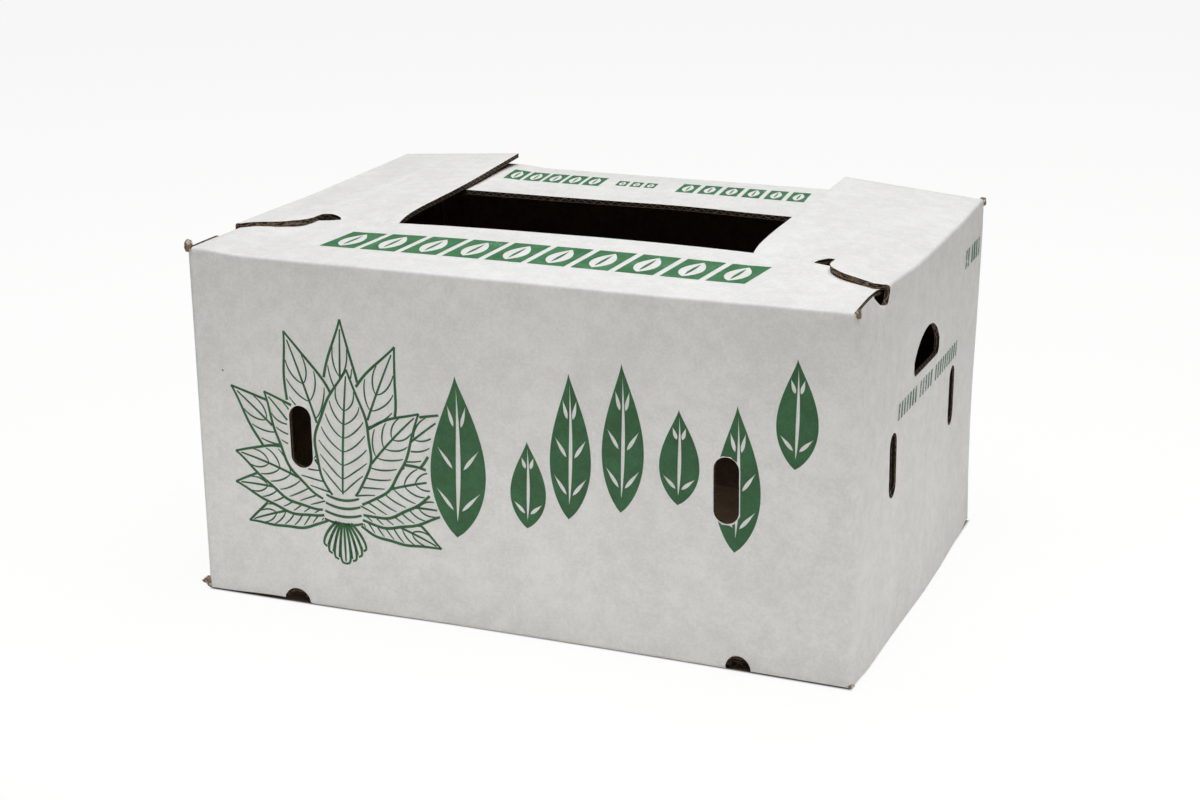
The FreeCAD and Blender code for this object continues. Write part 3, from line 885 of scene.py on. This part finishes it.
def leaf_with_slots(leaf, pairs):
    """A filled leaf whose rib and side veins are left bare."""
    outlines = [leaf.outline(), leaf.outline(0.10, 0.93, 0.085)]
    for number in range(pairs):
        start = 0.17 + 0.52 * number / (pairs - 1)
        for way in (1, -1):
            root = leaf.side(start, way, 0.20)
            tip = leaf.side(start + 0.13, way, 0.84)
            lean = math.degrees(math.atan2(tip.x - root.x, tip.y - root.y))
            outlines.append(Leaf(root, lean, (tip - root).length, 1.5, belly=0.35).outline(count=8))
    return outlines


def fill_leaf_row():
    """Seven upright leaves that climb to the right across the front."""
    outlines = []
    for leaf, pairs in leaf_row():
        outlines += leaf_with_slots(leaf, pairs)
    piece = fill_outlines("leaf_row_print", outlines)
    cut_out(piece, FRONT_VENTS[1])
    return piece


def slanted(left, low, width, height, slant):
    """The outline of a bar whose top lies to one side of its foot by slant."""
    right, high = left + width, low + height
    return [(left, low), (right, low), (right + slant, high), (left + slant, high)]


def bar(left, low, width, height, slant):
    """A plain slanted bar."""
    return [slanted(left, low, width, height, slant)]


def tile(left, low, width, height, slant):
    """A slanted tile with a leaf left bare in it, and the leaf's rib printed."""
    lean = math.degrees(math.atan2(slant, height))
    foot = (left + width / 2 + slant * 0.10, low + height * 0.10)
    leaf = Leaf(foot, lean, height * 0.80, width * 0.30, belly=0.45)
    return [slanted(left, low, width, height, slant), leaf.outline(count=14),
            leaf.outline(0.12, 0.86, 0.16, count=14)]


def fill_rows(name, shape, groups):
    """Rows of a shape, given as (first left edge, low, width, height, slant, step, number)."""
    outlines = []
    for left, low, width, height, slant, step, number in groups:
        for j in range(number):
            outlines += shape(left + step * j, low, width, height, slant)
    return fill_outlines(name, outlines)


def print_box(shell):
    """All the print, in one green, painted lighter on the top flaps as painted sheen."""
    full_ink = green_ink("green_ink", 0.70, (0.011, 0.085, 0.022, 1), (0.026, 0.138, 0.043, 1))
    # The flaps' ink is a lighter copy of the same green: painted sheen on the top.
    flap_ink_with_painted_sheen = green_ink("flap_green_ink_with_painted_sheen", 0.62, (0.036, 0.155, 0.060, 1), (0.084, 0.250, 0.115, 1))
    thin_ink = green_ink("worn_green_ink", 0.50, (0.035, 0.120, 0.055, 1), (0.085, 0.210, 0.110, 1))
    print_on(draw_leaf_bunch(), "front_wall", shell, full_ink)
    print_on(fill_leaf_row(), "front_wall", shell, full_ink)
    front_flap = [(100, 44, 31, 46, 6, 36.4, 10)]
    back_flap = [(134, 318, 16, 36, -4, 19.2, 5), (240, 326, 10, 20, -3, 13.5, 3),
                 (300, 318, 16, 36, -4, 20.4, 6)]
    right_wall = [(108, 178, 4.6, 13, 2.4, 8.2, 7), (172, 178, 4.6, 13, 2.4, 8.2, 5),
                  (220, 178, 4.6, 13, 2.4, 8.2, 10)]
    right_corner = [(312, 249, 6, 16, 0, 9.3, 2), (336, 249, 6, 16, 0, 9.3, 4)]
    print_on(fill_rows("front_flap_print", tile, front_flap), "top", shell, flap_ink_with_painted_sheen)
    print_on(fill_rows("back_flap_print", tile, back_flap), "top", shell, flap_ink_with_painted_sheen)
    print_on(fill_rows("right_wall_print", bar, right_wall), "right_wall", shell, thin_ink)
    print_on(fill_rows("right_corner_print", bar, right_corner), "right_wall", shell, thin_ink)
    speck = Leaf((30.1, 194.3), 0, 1.7, 0.8, belly=0.5)
    print_on(fill_outlines("ink_speck", [speck.outline(count=8)]), "front_wall", shell, full_ink)


# Crushed corners

def torn_paper():
    """Fluff and folds of torn board, brown with some of its white face left."""
    paper = Finish("torn_board")
    fibres = paper.cloud(700, 3.0, 0.7)
    patches = paper.cloud(260, 2.0, 0.5)
    brown = paper.mix(fibres, (0.13, 0.08, 0.045, 1), (0.34, 0.23, 0.145, 1))
    colour = paper.mix(patches.between(0.50, 0.62), brown, (0.62, 0.59, 0.54, 1))
    paper.bump(fibres, 0.0006, 1.0)
    return paper.finish(Base_Color=colour, Roughness=0.9)


def crumple(name, place, across, finish, sharp=1.0):
    """A small knob of crushed board. sharp pinches its outer end to a point."""
    bpy.ops.mesh.primitive_cube_add(size=1)
    knob = bpy.context.object
    knob.name = name
    only(knob)
    bpy.ops.object.mode_set(mode="EDIT")
    bpy.ops.mesh.subdivide(number_cuts=5, smoothness=0.6)
    bpy.ops.object.mode_set(mode="OBJECT")
    for vertex in knob.data.vertices:
        point = vertex.co
        pinch = 1 - (1 - sharp) * ramp(point.x, 0.5, -0.5)
        point.y *= pinch
        point.z *= pinch
        point += noise.noise_vector(point * 2.3 + Vector(place) * 400) * 0.22
        vertex.co = Vector(place) + Vector([point[axis] * across[axis] for axis in range(3)])
    bpy.ops.object.shade_smooth_by_angle(angle=math.radians(40))
    knob.data.materials.append(finish)
    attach(knob, "root")


def crush_corners():
    """The box's worn corners: knobs at four of them, and a torn point at the lower left."""
    torn = torn_paper()
    crumple("front_left_knob", (-0.2755, -0.1900, 0.2955), (0.0040, 0.0045, 0.0070), torn)
    crumple("front_right_knob", (0.2776, -0.1895, 0.2895), (0.0026, 0.0032, 0.0048), torn)
    crumple("back_right_knob", (0.2785, 0.1900, 0.2925), (0.0040, 0.0045, 0.0050), torn)
    crumple("foot_right_knob", (0.2762, -0.1892, 0.0032), (0.0060, 0.0040, 0.0024), torn)
    crumple("foot_left_point", (-0.2812, -0.1880, 0.0056), (0.0104, 0.0060, 0.0085), torn, 0.30)


# The scene

def add_floor():
    """A wide floor at the foot of the box."""
    bpy.ops.mesh.primitive_plane_add(size=14, location=(0, 0, 0))
    floor = bpy.context.object
    floor.name = "floor"
    floor.data.materials.append(pale_floor())


add_camera()
light_world(0.02)
add_lamp("sky_panel", (0.2, -0.2, 2.6), (0, 0, 0.2), 2.6, 2.6, 81)
add_lamp("front_reflector", (-0.06, -0.55, 0.02), (-0.02, -0.192, 0.05), 1.0, 0.06, 0.62)
add_lamp("right_reflector", (0.65, -0.02, 0.03), (0.28, 0, 0.03), 0.8, 0.06, 0.46)
add_floor()
shell = make_box_shell(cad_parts["folded_box"])
print_box(shell)
crush_corners()

bpy.context.scene.view_settings.view_transform = "Standard"
